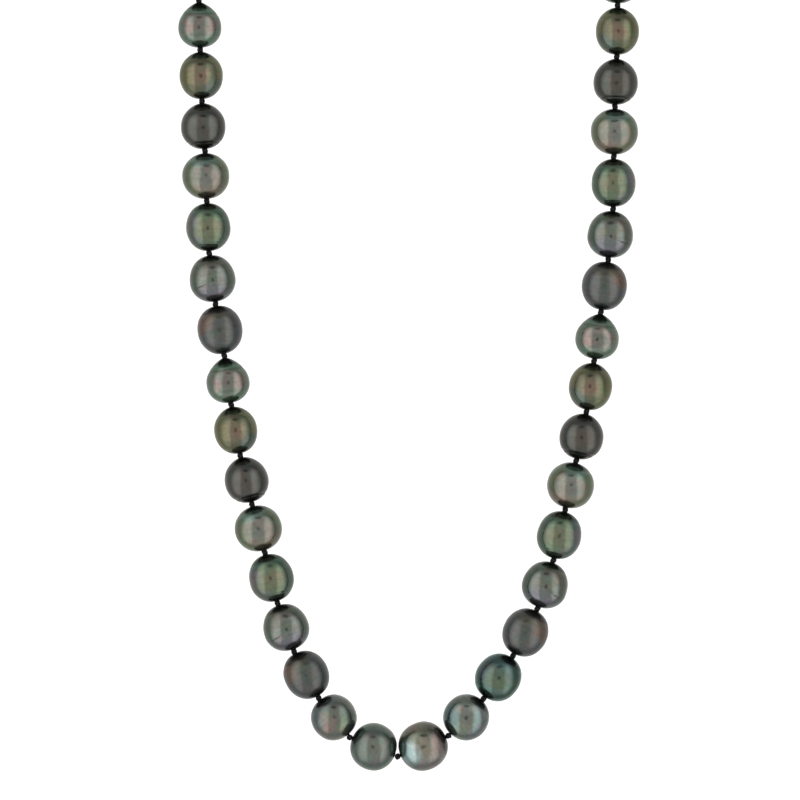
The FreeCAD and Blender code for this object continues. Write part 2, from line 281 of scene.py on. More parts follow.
def lobed(kind, turn, alpha, phase):
    """How far the surface stands out from round, as a share of its radius."""
    two, three = SHAPES[kind]["lobes"]
    lobes = two * np.cos(2 * turn + phase[0]) + three * np.cos(3 * turn + phase[1])
    lobes = lobes + LEAN * two * np.cos(turn + phase[2]) * np.sin(2 * alpha)
    return lobes - DRAWN_IN * lobes[len(lobes) // 2].max()


def dents(kind, length, z, turn, swell, phase):
    """The depth of the kind's rings and creases."""
    shape = SHAPES[kind]
    depths = np.zeros((ALONG, AROUND))
    for place, depth, width, tilt in shape["ring"]:
        off = z - (place * length + tilt * np.cos(turn + phase))
        depths = depths + depth * np.exp(-((off / width) ** 2)) * np.minimum(1, swell * RING_RISE)
    for place, at, depth, width, spread in shape.get("crease", ()):
        side = np.degrees(np.angle(np.exp(1j * (turn - math.radians(90 - at)))))
        off = z - place * length - BOW * np.sin(np.radians(side * BOW_RATE))
        depths = depths + depth * np.exp(-((off / width) ** 2)) * np.exp(-((side / spread) ** 2))
    return depths


def scaled_across(points, factor):
    """Points drawn in towards the hole's line by a factor each."""
    return points * np.stack([factor, factor, np.ones_like(factor)], axis=-1)


def pearl_surface(kind, length, half, widest, number, reaches):
    """A drilled pearl in its own frame: x to the outer side, y to the top, z along the hole.

    Its points, its faces, the rings of points at the mouths of the hole, and how deep in a groove
    each point is, in millimetres.
    """
    rng = np.random.default_rng(number)
    turn = np.linspace(0, 2 * math.pi, AROUND, endpoint=False)
    z, r, alpha = profile(kind, length, half, widest, reaches)
    swell = np.sin(alpha) ** SWELL_POWER
    phase = rng.uniform(0, 2 * math.pi, 4)
    hollow = dents(kind, length, z, turn, swell, phase[3])
    r = r * (1 + lobed(kind, turn, alpha, phase) * swell) - hollow
    x, y = r * np.cos(turn), r * np.sin(turn)
    outer = np.stack([x, y, np.broadcast_to(z, x.shape)], axis=-1)
    ways = rng.normal(size=(WAVES, 3))
    ways *= rng.uniform(*WAVE_RATE, (WAVES, 1)) / np.linalg.norm(ways, axis=1)[:, None] / half
    shifts = rng.uniform(0, 2 * math.pi, WAVES)
    wave = np.sin((outer - widest * UP) @ ways.T + shifts).sum(axis=-1)
    wave = WAVE_HEIGHT * wave * np.minimum(1, swell * WAVE_RISE)
    outer = scaled_across(outer, 1 + wave / half)
    for _ in range(rng.integers(*PITS)):
        i, j = rng.integers(PIT_MARGIN, ALONG - PIT_MARGIN), rng.integers(0, AROUND)
        gap = np.linalg.norm(outer - outer[i, j], axis=-1)
        width, depth = rng.uniform(*PIT_WIDTH), rng.uniform(*PIT_DEPTH)
        outer = scaled_across(outer, 1 - depth * np.exp(-((gap / width) ** 2)) / half)
    # The hole runs back from the outer mouth to the inner one.
    bore = np.stack([BORE * np.cos(turn), BORE * np.sin(turn), np.zeros(AROUND)], axis=-1)
    far = bore + (outer[-1, :, 2].mean() - LIP) * UP
    near = bore + (outer[0, :, 2].mean() + LIP) * UP
    grid = np.concatenate([outer, [far, 0.5 * (far + near), near]])
    faces = ring_faces(len(grid), AROUND, closed=True)
    mouths = [range((ALONG - 1) * AROUND, ALONG * AROUND), range(AROUND)]
    in_hole = np.zeros(3 * AROUND)
    return grid.reshape(-1, 3), faces, mouths, np.concatenate([hollow.ravel(), in_hole])


# ---------------------------------------------------------------- silk

# The silk's plies, which turn by so many radians in a millimetre.
SILK_RADIUS = 0.335
PLIES = 3
PLY_RADIUS = 0.54 * SILK_RADIUS
TWIST = 3.4
SILK_ROWS = 96
PLY_AROUND = 8
# A length of silk ends this far past its knot's middle, and starts this far past the knot before.
SILK_PAST = 0.5
SILK_START = 0.84
# A knot is a trefoil: the radius of its line and of its strand, its height, and how far it tilts.
KNOT_RADIUS = 0.36
KNOT_STRAND = 0.31
KNOT_HEIGHT = 0.27
KNOT_TILT = 0.25
KNOT_ROWS = 60
KNOT_AROUND = 10
# The silk's random draws are numbered from here, apart from the pearls'.
SILK_NUMBERS = 1000


def trefoil():
    """A trefoil knot round the z axis."""
    t = np.linspace(0, 2 * math.pi, KNOT_ROWS, endpoint=False)
    path = np.stack([np.sin(t) + 2 * np.sin(2 * t), np.cos(t) - 2 * np.cos(2 * t), -np.sin(3 * t)])
    path = path.T * np.array([KNOT_RADIUS / 3, KNOT_RADIUS / 3, KNOT_HEIGHT])
    return tube(path, KNOT_STRAND, KNOT_AROUND, closed=True)


def silk_surface(length, knot_inside, number):
    """Three-ply silk through a pearl in its own frame, with the knot at its outer end."""
    rng = np.random.default_rng(SILK_NUMBERS + number)
    inner, outer = -KNOT_GAP / 2, length + KNOT_GAP / 2
    start = inner - SILK_PAST if knot_inside else inner + SILK_START
    z = np.linspace(start, outer + SILK_PAST, SILK_ROWS)
    away = SILK_RADIUS - PLY_RADIUS
    parts = []
    for k in range(PLIES):
        a = z * TWIST + k * 2 * math.pi / PLIES
        path = np.stack([away * np.cos(a), away * np.sin(a), z], axis=-1)
        parts.append(tube(path, PLY_RADIUS, PLY_AROUND))
    for centre in [outer, inner] if knot_inside else [outer]:
        points, faces = trefoil()
        tilt, spin = rng.uniform(-KNOT_TILT, KNOT_TILT), rng.uniform(0, 2 * math.pi)
        c, s = math.cos(spin), math.sin(spin)
        points = points @ np.array([[c, s, 0], [-s, c, 0], [0, 0, 1]])
        c, s = math.cos(tilt), math.sin(tilt)
        points = points @ np.array([[1, 0, 0], [0, c, s], [0, -s, c]])
        parts.append((points + centre * UP, faces))
    return join(parts)


# ---------------------------------------------------------------- materials


def grey(value):
    return (value, value, value)


class Nodes:
    """A material's node tree, with short calls to add to it."""

    def __init__(self, name):
        self.material = bpy.data.materials.new(name)
        self.material.use_nodes = True
        self.tree = self.material.node_tree
        self.shader = self.tree.nodes["Principled BSDF"]

    def set(self, **values):
        for key, value in values.items():
            self.shader.inputs[key.replace("_", " ")].default_value = value

    def put(self, value, socket):
        """Links or sets one input. A colour comes without its alpha."""
        if isinstance(value, bpy.types.NodeSocket):
            self.tree.links.new(value, socket)
        else:
            socket.default_value = (*value, 1.0) if socket.type == "RGBA" else value

    def link(self, value, name):
        self.tree.links.new(value, self.shader.inputs[name])

    def add(self, kind, inputs=None, **settings):
        node = self.tree.nodes.new(kind)
        for key, value in settings.items():
            setattr(node, key, value)
        for key, value in (inputs or {}).items():
            self.put(value, node.inputs[key])
        return node

    def attribute(self, name, output="Fac"):
        return self.add("ShaderNodeAttribute", attribute_name=name).outputs[output]

    def place(self):
        """Where a point is on its object."""
        return self.add("ShaderNodeTexCoord").outputs["Object"]

    def math(self, operation, a, b=0.0, c=0.0):
        return self.add("ShaderNodeMath", {0: a, 1: b, 2: c}, operation=operation).outputs[0]

    def vector(self, operation, a, b=(0, 0, 0)):
        second = "Scale" if operation == "SCALE" else 1
        node = self.add("ShaderNodeVectorMath", {0: a, second: b}, operation=operation)
        return node.outputs["Value" if operation == "DOT_PRODUCT" else "Vector"]

    def split(self, vector):
        """The X, Y and Z of a vector."""
        return self.add("ShaderNodeSeparateXYZ", {0: vector}).outputs

    def step(self, value, low, high, to_low=0.0, to_high=1.0):
        """A smooth step from low to high."""
        ends = {"From Min": low, "From Max": high, "To Min": to_low, "To Max": to_high}
        inputs = {"Value": value, **ends}
        node = self.add("ShaderNodeMapRange", inputs, interpolation_type="SMOOTHSTEP")
        return node.outputs["Result"]

    def mix(self, factor, a, b, blend="MIX"):
        settings = {"data_type": "RGBA", "blend_type": blend, "clamp_factor": True}
        return self.add("ShaderNodeMix", {0: factor, 6: a, 7: b}, **settings).outputs[2]

    def shade(self, colour, value, limits, dark, light, blend="MULTIPLY", share=1.0):
        """A colour shaded by one that goes from dark to light as value goes between its limits."""
        return self.mix(share, colour, self.mix(self.step(value, *limits), dark, light), blend)

    def noise(self, vector, scale, detail, roughness=0.5, seed=None, colour=False):
        inputs = {"Vector": vector, "Scale": scale, "Detail": detail, "Roughness": roughness}
        if seed is not None:
            inputs["W"] = seed
        dimensions = "3D" if seed is None else "4D"
        node = self.add("ShaderNodeTexNoise", inputs, noise_dimensions=dimensions)
        return node.outputs["Color" if colour else "Fac"]

    def ramp(self, value, stops):
        """A colour by its place between stops of (place, colour)."""
        node = self.add("ShaderNodeValToRGB", {"Fac": value})
        ramp = node.color_ramp
        ramp.interpolation = "EASE"
        while len(ramp.elements) < len(stops):
            ramp.elements.new(0.5)
        for element, (at, colour) in zip(ramp.elements, stops):
            element.position = at
            element.color = (*colour, 1.0)
        return node.outputs["Color"]

    def bump(self, height, strength, distance):
        inputs = {"Height": height, "Strength": strength, "Distance": distance}
        self.link(self.add("ShaderNodeBump", inputs).outputs[0], "Normal")


# The nacre's colours, as the reflectance of its platelets. rim, ring, zone and crown go from the pearl's side up
# to its top. They are the nacre's tones with painted reflection laid over them by height. For most kinds the ring
# band is darker as a painted dark reflection, and the shift in colour and brightness from side to top is painted
# sheen and reflection as seen from above. ends: tints at the inner and outer ends. patches: (direction to the
# outer side, top and outer end, where it fades in, where it is full, colour, strength).
NACRE = {
    "large": {
        "rim": (0.125, 0.125, 0.110), "ring": (0.071, 0.073, 0.060),
        "zone": (0.093, 0.103, 0.077), "crown": (0.139, 0.133, 0.101),
        "ends": ((0.900, 1.000, 1.000), (1.000, 0.950, 0.950)),
        "patches": [
            ((0.0, 0.74, -0.67), 0.76, 0.98, (0.200, 0.255, 0.250), 0.9),
            ((0.1, 0.6, 0.65), 0.72, 0.98, (0.128, 0.102, 0.094), 0.8),
            ((-0.8, 0.5, 0.0), 0.7, 0.98, (0.150, 0.140, 0.106), 0.85),
            ((0.8, 0.5, 0.0), 0.75, 0.98, (0.136, 0.130, 0.130), 0.7),
            ((0.55, 0.35, 0.75), 0.80, 0.98, (0.180, 0.158, 0.150), 0.8),
        ],
        "tint": (1.0, 1.0, 0.96), "rough": 0.17,
    },
    "round": {
        "rim": (0.156, 0.160, 0.132), "ring": (0.082, 0.112, 0.093),
        "zone": (0.087, 0.092, 0.084), "crown": (0.086, 0.102, 0.084),
        "ends": ((1.000, 1.000, 1.000), (0.950, 1.000, 1.000)),
        "patches": [],
        "tint": (0.95, 1.0, 0.96), "rough": 0.2,
    },
    "silver": {
        "rim": (0.157, 0.167, 0.148), "ring": (0.113, 0.123, 0.102),
        "zone": (0.099, 0.097, 0.089), "crown": (0.075, 0.086, 0.068),
        "ends": ((1.000, 1.000, 1.000), (0.850, 0.950, 1.050)),
        "patches": [
            ((0.3, 0.85, -0.1), 0.85, 0.99, (0.122, 0.098, 0.086), 0.8),
            ((0.85, 0.34, 0.42), 0.74, 0.98, (0.068, 0.092, 0.102), 0.8),
            ((-0.66, 0.55, -0.52), 0.76, 0.98, (0.074, 0.104, 0.092), 0.8),
            ((-0.19, 0.82, -0.53), 0.92, 0.995, (0.098, 0.114, 0.078), 0.8),
        ],
        "tint": (1.0, 1.0, 0.97), "rough": 0.18,
    },
    "banded": {
        "rim": (0.148, 0.168, 0.154), "ring": (0.098, 0.118, 0.094),
        "zone": (0.120, 0.142, 0.128), "crown": (0.089, 0.105, 0.087),
        "ends": ((1.000, 1.050, 1.050), (1.000, 1.000, 1.000)),
        "patches": [
            ((-0.64, 0.62, -0.45), 0.74, 0.98, (0.064, 0.106, 0.106), 0.8),
            ((0.84, 0.52, -0.17), 0.76, 0.98, (0.100, 0.116, 0.124), 0.8),
            ((-0.35, 0.88, 0.15), 0.94, 0.995, (0.142, 0.108, 0.092), 0.9),
            ((0.26, 0.81, 0.53), 0.9, 0.99, (0.120, 0.152, 0.150), 0.9),
            ((0.18, 0.92, -0.34), 0.9, 1.0, (0.122, 0.120, 0.092), 0.7),
        ],
        "tint": (1.0, 1.0, 0.97), "rough": 0.17,
    },
    "teal": {
        "rim": (0.140, 0.176, 0.162), "ring": (0.028, 0.054, 0.039),
        "zone": (0.059, 0.089, 0.077), "crown": (0.053, 0.079, 0.054),
        "ends": ((0.900, 1.000, 1.050), (0.800, 0.950, 1.150)),
        "patches": [
            ((-0.9, 0.43, 0.05), 0.74, 0.98, (0.056, 0.072, 0.084), 0.7),
            ((0.15, 0.97, -0.1), 0.93, 0.999, (0.070, 0.088, 0.052), 0.7),
        ],
        "tint": (0.85, 1.0, 0.92), "rough": 0.18,
    },
    "copper": {
        "rim": (0.083, 0.080, 0.080), "ring": (0.054, 0.060, 0.060),
        "zone": (0.059, 0.061, 0.060), "crown": (0.052, 0.056, 0.049),
        "ends": ((1.000, 1.000, 0.980), (1.050, 1.000, 0.950)),
        "patches": [
            ((0.70, 0.54, 0.46), 0.74, 0.99, (0.100, 0.066, 0.050), 0.9),
            ((0.0, 0.78, 0.62), 0.86, 0.99, (0.060, 0.063, 0.046), 0.6),
        ],
        "tint": (1.0, 1.0, 0.98), "rough": 0.3,
    },
    "creased": {
        "rim": (0.113, 0.123, 0.106), "ring": (0.073, 0.096, 0.072),
        "zone": (0.102, 0.112, 0.101), "crown": (0.077, 0.089, 0.065),
        "ends": ((1.000, 0.980, 1.120), (1.000, 0.980, 0.960)),
        "patches": [
            ((0.0, 0.8, -0.58), 0.72, 0.99, (0.098, 0.093, 0.099), 0.7),
            ((0.66, 0.55, 0.51), 0.76, 0.98, (0.090, 0.094, 0.070), 0.7),
            ((0.05, 0.87, 0.48), 0.9, 0.99, (0.078, 0.074, 0.063), 0.7),
        ],
        "tint": (1.0, 1.0, 0.98), "rough": 0.17,
    },
    "green": {
        "rim": (0.102, 0.109, 0.116), "ring": (0.075, 0.100, 0.082),
        "zone": (0.086, 0.102, 0.068), "crown": (0.094, 0.097, 0.060),
        "ends": ((0.900, 1.000, 0.950), (0.750, 0.950, 0.900)),
        "patches": [
            ((0.9, 0.38, 0.15), 0.74, 0.96, (0.116, 0.106, 0.120), 0.8),
            ((0.5, 0.4, -0.75), 0.84, 0.98, (0.092, 0.094, 0.098), 0.6),
        ],
        "tint": (0.96, 1.0, 0.86), "rough": 0.17,
    },
    "pale": {
        "rim": (0.161, 0.187, 0.152), "ring": (0.102, 0.123, 0.076),
        "zone": (0.120, 0.117, 0.098), "crown": (0.107, 0.107, 0.093),
        "ends": ((1.050, 1.000, 0.960), (0.900, 1.020, 0.980)),
        "patches": [
            ((0.1, 0.55, 0.82), 0.72, 0.96, (0.112, 0.156, 0.136), 0.8),
            ((-0.35, 0.5, -0.78), 0.74, 0.98, (0.138, 0.110, 0.094), 0.8),
            ((0.88, 0.42, 0.1), 0.78, 0.98, (0.106, 0.124, 0.082), 0.6),
        ],
        "tint": (1.0, 1.0, 0.95), "rough": 0.18,
    },
    "charcoal": {
        "rim": (0.071, 0.077, 0.062), "ring": (0.052, 0.052, 0.047),
        "zone": (0.051, 0.054, 0.047), "crown": (0.048, 0.043, 0.036),
        "ends": ((0.800, 0.800, 0.800), (0.750, 0.750, 0.750)),
        "patches": [],
        "tint": (1.0, 0.98, 0.95), "rough": 0.2,
    },
    "olive": {
        "rim": (0.108, 0.131, 0.082), "ring": (0.120, 0.123, 0.069),
        "zone": (0.067, 0.068, 0.042), "crown": (0.102, 0.087, 0.056),
        "ends": ((0.920, 1.000, 1.000), (0.850, 0.900, 0.900)),
        "patches": [
            ((-0.62, 0.5, -0.6), 0.78, 0.99, (0.060, 0.078, 0.074), 0.7),
            ((0.8, 0.58, 0.1), 0.76, 1.0, (0.094, 0.098, 0.046), 0.6),
            ((-0.05, 0.99, -0.1), 0.965, 1.0, (0.112, 0.078, 0.056), 0.7),
        ],
        "tint": (1.0, 0.97, 0.86), "rough": 0.17,
    },
    "drop": {
        "rim": (0.080, 0.106, 0.090), "ring": (0.112, 0.148, 0.110),
        "zone": (0.136, 0.130, 0.114), "crown": (0.095, 0.094, 0.080),
        "ends": ((0.850, 1.050, 0.980), (0.700, 1.000, 0.880)),
        "patches": [
            ((0.60, 0.80, 0.05), 0.92, 0.995, (0.166, 0.120, 0.110), 0.7),
            ((-0.60, 0.80, 0.05), 0.92, 0.995, (0.166, 0.120, 0.110), 0.7),
        ],
        "tint": (1.0, 0.98, 0.94), "rough": 0.17,
    },
}

# How high the four colours lie, and with them the painted reflection bands, from 0.5 at the hole's level to 1 at
# the top.
HEIGHTS_OF_TONES_AND_PAINTED_REFLECTION = {"rim": 0.5, "ring": 0.80, "zone": 0.91, "crown": 0.985}
# Patterns are (scale, detail, roughness) of a noise over the pearl, which is 2 wide. Some are
# stretched first by a factor each way.
# The colours wander off their places by this much.
WANDER = (1.3, 2.0)
WANDER_FAR = 0.42
# The nacre turns a little greener here and pinker there.
HUES = (2.6, 3.0, 0.6)
HUES_LIMITS = (0.36, 0.64)
HUES_SEED = 7.0
GREENER = (0.91, 1.04, 1.01)
PINKER = (1.09, 0.97, 0.98)
# The end tints come in between these places along the hole.
TINT_LIMITS = (0.25, 0.75)
# Painted shade at the ends: round the mouths of the hole the nacre is painted near black. This stands in for the
# shade between pearls and for the dark next pearl that the end mirrors. The pair lies this far towards the inner
# end, and its edges wander this much.
END_PAINTED_SHADE = grey(0.010)
END_PAINTED_SHADE_LIMITS = (0.78, 0.90)
END_PAINTED_SHADE_SHARE = 0.8
END_PAINTED_SHADE_SHIFT = 0.08
DROP_END_PAINTED_SHADE_SHIFT = 0.12
END_PAINTED_SHADE_EDGE = (2.5, 3.0)
END_PAINTED_SHADE_EDGE_FAR = 0.24
# Painted shade in the grooves: the colour darkens between these depths in millimetres.
GROOVE_PAINTED_SHADE = (0.012, 0.012, 0.011)
GROOVE_PAINTED_SHADE_LIMITS = (0.01, 0.09)
GROOVE_PAINTED_SHADE_SHARE = 0.75
# Growth bands run round the hole; mottling is fine and faint.
BANDS = (1.6, 4.0)
BANDS_STRETCH = (0.35, 0.35, 6.0)
BANDS_LIMITS = (0.3, 0.7)
BANDS_SHADES = (grey(0.55), grey(1.45))
BANDS_SHARE = 0.10
MOTTLE = (7.0, 5.0, 0.6)
MOTTLE_LIMITS = (0.25, 0.75)
MOTTLE_SHADES = (grey(0.88), grey(1.10))
# Roughness goes from this much under a kind's own to this much over it.
POLISH = (3.0, 4.0)
POLISH_LIMITS = (0.3, 0.7)
SMOOTHER = 0.03
ROUGHER = 0.05
# The relief is of fine grain and low bands. Bumps are (strength, distance).
FINE = (26.0, 4.0)
FINE_SHARE = 0.35
GROWTH = (3.0, 3.0)
GROWTH_STRETCH = (0.5, 0.5, 9.0)
NACRE_BUMP = (0.05, 0.05 * MM)


def nacre(kind):
    """The nacre of one kind of pearl. Its patterns follow the pearl, by the grain attribute. Its colour also holds
    painted reflection by height, and painted shade at the hole's ends and in its grooves.
    """
    look = NACRE[kind]
    n = Nodes("nacre_" + kind)
    grain = n.attribute("grain", "Vector")
    seed = n.attribute("seed")
    cloud = n.vector("SUBTRACT", n.noise(grain, *WANDER, seed=seed, colour=True), grey(0.5))
    warped = n.vector("ADD", grain, n.vector("SCALE", cloud, WANDER_FAR))
    place = n.split(warped)
    # Colour by height up the pearl: the nacre's tones with painted reflection and sheen, and for most kinds a
    # darker painted reflection band at the ring.
    stops = [(at, look[part]) for part, at in HEIGHTS_OF_TONES_AND_PAINTED_REFLECTION.items()]
    colour = n.ramp(n.math("MULTIPLY_ADD", place["Y"], 0.5, 0.5), stops)
    for direction, low, high, patch, strength in look["patches"]:
        near = n.vector("DOT_PRODUCT", warped, tuple(unit(np.array(direction))))
        colour = n.mix(n.step(near, low, high, 0.0, strength), colour, patch)
    for tint, way in zip(look["ends"], (-1, 1)):
        share = n.step(place["Z"], *(way * limit for limit in TINT_LIMITS))
        colour = n.mix(share, colour, n.mix(1.0, colour, tint, "MULTIPLY"))
    hues = n.noise(warped, *HUES, seed=n.math("ADD", seed, HUES_SEED))
    colour = n.shade(colour, hues, HUES_LIMITS, GREENER, PINKER)
    # Painted shade and painted reflection, near black, round the mouths of the hole.
    end_shade_edge = n.noise(grain, *END_PAINTED_SHADE_EDGE, seed=seed)
    end_shade_edge = n.math("MULTIPLY_ADD", end_shade_edge, END_PAINTED_SHADE_EDGE_FAR, -END_PAINTED_SHADE_EDGE_FAR / 2)
    end_shade_shift = DROP_END_PAINTED_SHADE_SHIFT if kind == "drop" else END_PAINTED_SHADE_SHIFT
    end = n.math("ABSOLUTE", n.math("ADD", n.split(grain)["Z"], end_shade_shift))
    end = n.step(n.math("ADD", end, end_shade_edge), *END_PAINTED_SHADE_LIMITS)
    colour = n.mix(n.math("MULTIPLY", end, END_PAINTED_SHADE_SHARE), colour, END_PAINTED_SHADE)
    # Painted shade in the grooves, by how deep each point lies.
    groove = n.step(n.attribute("hollow"), *GROOVE_PAINTED_SHADE_LIMITS, 0.0, GROOVE_PAINTED_SHADE_SHARE)
    colour = n.mix(groove, colour, GROOVE_PAINTED_SHADE)
    bands = n.noise(n.vector("MULTIPLY", warped, BANDS_STRETCH), *BANDS, seed=seed)
    colour = n.shade(colour, bands, BANDS_LIMITS, *BANDS_SHADES, "OVERLAY", BANDS_SHARE)
    mottle = n.noise(grain, *MOTTLE, seed=seed)
    n.link(n.shade(colour, mottle, MOTTLE_LIMITS, *MOTTLE_SHADES), "Base Color")
    rough = look["rough"] - SMOOTHER, look["rough"] + ROUGHER
    n.link(n.step(n.noise(grain, *POLISH, seed=seed), *POLISH_LIMITS, *rough), "Roughness")
    fine = n.math("MULTIPLY", n.noise(grain, *FINE, seed=seed), FINE_SHARE)
    growth = n.noise(n.vector("MULTIPLY", warped, GROWTH_STRETCH), *GROWTH, seed=seed)
    n.bump(n.math("ADD", fine, growth), *NACRE_BUMP)
    n.set(Metallic=0.86, IOR=1.5, Coat_Weight=0.22, Coat_Roughness=0.045, Coat_IOR=1.45)
    n.set(Specular_Tint=(*look["tint"], 1.0))
    return n.material


# The plain materials. Their patterns lie over the object in metres, and their colours and
# roughnesses go from the first to the second.
FIBRES = (9000.0, 3.0)
FIBRES_LIMITS = (0.3, 0.7)
SILK_COLOURS = ((0.003, 0.003, 0.003), (0.010, 0.010, 0.011))
SILK_ROUGH = (0.50, 0.72)
SILK_BUMP = (0.5, 0.03 * MM)


def silk():
    """Black silk, with its fibres."""
    n = Nodes("silk_thread")
    fibres = n.noise(n.place(), *FIBRES)
    n.link(n.mix(n.step(fibres, *FIBRES_LIMITS), *SILK_COLOURS), "Base Color")
    n.link(n.step(fibres, *FIBRES_LIMITS, *SILK_ROUGH), "Roughness")
    n.bump(fibres, *SILK_BUMP)
    n.set(Specular_IOR_Level=0.18, Sheen_Weight=0.03, Sheen_Roughness=0.4)
    return n.material


WEAR = (420.0, 3.0)
WEAR_LIMITS = (0.3, 0.7)
GOLD_COLOURS = ((0.72, 0.48, 0.19), (0.83, 0.60, 0.28))
DULL_LIMITS = (0.3, 0.75)
GOLD_ROUGH = (0.12, 0.24)
SCRATCHES = (1.0, 4.0, 0.65)
SCRATCHES_STRETCH = (900.0, 9000.0, 3500.0)
SCRATCHES_LIMITS = (0.55, 0.75)
SCRATCHES_ROUGH = (0.0, 0.14)
GOLD_BUMP = (0.18, 0.02 * MM)


def gold():
    """Polished gold, a little worn and scratched."""
    n = Nodes("gold")
    where = n.place()
    wear = n.noise(where, *WEAR)
    scratches = n.noise(n.vector("MULTIPLY", where, SCRATCHES_STRETCH), *SCRATCHES)
    n.link(n.mix(n.step(wear, *WEAR_LIMITS), *GOLD_COLOURS), "Base Color")
    rough = n.step(wear, *DULL_LIMITS, *GOLD_ROUGH)
    scratched = n.step(scratches, *SCRATCHES_LIMITS, *SCRATCHES_ROUGH)
    n.link(n.math("ADD", rough, scratched), "Roughness")
    n.bump(scratches, *GOLD_BUMP)
    n.set(Metallic=1.0)
    return n.material


LEAF = (1.0, 3.0)
LEAF_STRETCH = (600.0, 9000.0, 9000.0)
LEAF_LIMITS = (0.2, 0.8)
STEEL_COLOURS = ((0.42, 0.43, 0.45), (0.60, 0.61, 0.62))
STEEL_ROUGH = (0.28, 0.42)


def spring_steel():
    """Rolled steel, with its grain along the leaf."""
    n = Nodes("steel")
    grain = n.noise(n.vector("MULTIPLY", n.place(), LEAF_STRETCH), *LEAF)
    n.link(n.mix(grain, *STEEL_COLOURS), "Base Color")
    n.link(n.step(grain, *LEAF_LIMITS, *STEEL_ROUGH), "Roughness")
    n.set(Metallic=1.0)
    return n.material


materials = {"nacre_" + kind: nacre(kind) for kind in NACRE}
materials["silk_thread"] = silk()
materials["gold"] = gold()
materials["steel"] = spring_steel()

for node, slot in slots.items():
    if not slot.startswith("nacre"):
        obj = frame["nodes"][node]
        obj.data.materials.clear()
        obj.data.materials.append(materials[slot])


def finish_piece(obj, slot, node):
    """Gives a piece its material and its body, and hides the CAD node that it stands for."""
    obj.data.materials.append(materials[slot])
    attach(obj, body_of_node[node])
    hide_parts(node)


# ---------------------------------------------------------------- the strand

# The two middle pearls are large and lean together, so there they stop at their knots.
MIDDLE_REACHES = ((-0.06, -0.02), (-0.02, REACH))
# The first three pearls of each arm have random draws and patterns of their own. After them an
# arm repeats a run of seven, whose patterns repeat too, while the draws go by a pearl's place.
RUN = 7
OWN = 3
RIGHT_NUMBERS = 40
SEED_STEP = 0.37
OWN_SEED = 3.0

for side, hand in (("left", 1), ("right", -1)):
    knots = arm_knots(side)
    for i, (a, b) in enumerate(zip(knots, knots[1:])):
        ending = f"{side}_{i + 1:02d}"
        node = "pearl_" + ending
        slot = slots[node]
        along = unit(b - a)
        outward = unit(np.cross(UP, along)) * hand
        top = np.cross(along, outward) * hand
        axes = (a + along * KNOT_GAP / 2, outward, top, along)
        number = RIGHT_NUMBERS * (side == "right") + i
        length, half, widest = pearl_size(node, a, b)
        size = (slot.removeprefix("nacre_"), length, half, widest)
        reaches = MIDDLE_REACHES[i] if i < len(MIDDLE_REACHES) else (REACH, REACH)
        points, faces, mouths, hollow = pearl_surface(*size, number if i < OWN else i, reaches)
        seed = SEED_STEP * (i % RUN) + OWN_SEED * (i < OWN) * (1 + hand)
        attributes = {
            "grain": (points - length / 2 * UP) / half,
            "hollow": hollow,
            "seed": np.full(len(points), seed),
        }
        points, faces = placed(points, faces, *axes)
        pearl = make_object("nacre_" + ending, points, faces, True, mouths, attributes)
        finish_piece(pearl, slot, node)
        points, faces = silk_surface(length, side == "right" and i == 0, number)
        thread = make_object("silk_" + ending, *placed(points, faces, *axes))
        finish_piece(thread, "silk_thread", node)

# ---------------------------------------------------------------- the ends

# An end loop's line: it leaves its knot at this distance, this far to each side, and goes round
# the bar at this radius.
LOOP_START = 0.708
LEG = 0.52
LOOP_RADIUS = 1.412
LOOP_ROWS = 400
ARC_ROWS = 80
# The coil of fine wire over it, whose turns stand a little apart, and a direction that the loop's
# line doesn't run in, to start the wire from.
BULLION_RADIUS = 0.46
WIRE = 0.075
PITCH = 2 * WIRE * 1.04
TURN_ROWS = 14
WIRE_AROUND = 6
ASKEW = UP + 0.3


def read_between(at, places, rows):
    """Rows read at places between those that they are given for."""
    return np.stack([np.interp(at, places, column) for column in rows.T], axis=-1)


def teardrop(knot, bar, normal):
    """Evenly spaced points of an end loop's line, from the knot round the bar and back.

    Then the line's length.
    """
    forward = unit(bar - knot)
    across = unit(np.cross(normal, forward))
    centre = np.array([np.linalg.norm(bar - knot), 0.0])
    start = np.array([LOOP_START, LEG])
    back = start - centre
    angle = math.atan2(back[1], back[0]) - math.acos(LOOP_RADIUS / np.linalg.norm(back))
    turn = np.linspace(angle, -angle, ARC_ROWS)
    arc = centre + LOOP_RADIUS * np.stack([np.cos(turn), np.sin(turn)], axis=-1)
    flat = np.array([start, *arc, start * np.array([1, -1])])
    steps = np.concatenate([[0], np.cumsum(np.linalg.norm(np.diff(flat, axis=0), axis=1))])
    flat = read_between(np.linspace(0, steps[-1], LOOP_ROWS), steps, flat)
    return knot + np.outer(flat[:, 0], forward) + np.outer(flat[:, 1], across), steps[-1]


def coil(line, length):
    """A close coil of wire round a line."""
    tangents = directions(line)
    sides, overs = carried(np.cross(tangents[0], ASKEW), tangents)
    turns = length / PITCH
    rows = int(turns * TURN_ROWS)
    numbers = np.arange(len(line))
    at = np.linspace(0, len(line) - 1, rows)
    middle, u, v = (read_between(at, numbers, values) for values in (line, sides, overs))
    a = np.linspace(0, 2 * math.pi * turns, rows)[:, None]
    path = middle + (BULLION_RADIUS - WIRE) * (np.cos(a) * u + np.sin(a) * v)
    return tube(path, WIRE, WIRE_AROUND)


# The left loop stands on edge in the tag, and the right one lies flat in the jump ring.
for side, joint in (("left", "tag_swing"), ("right", "jump_ring_swing")):
    knot, bar = arm_knots(side)[-1], joint_point(joints[joint])
    heading = (bar - knot) * np.array([1, 1, 0])
    normal = np.cross(UP, unit(heading)) if side == "left" else UP
    piece = make_object(f"bullion_coil_{side}", *coil(*teardrop(knot, bar, normal)))
    finish_piece(piece, "gold", f"bullion_{side}")

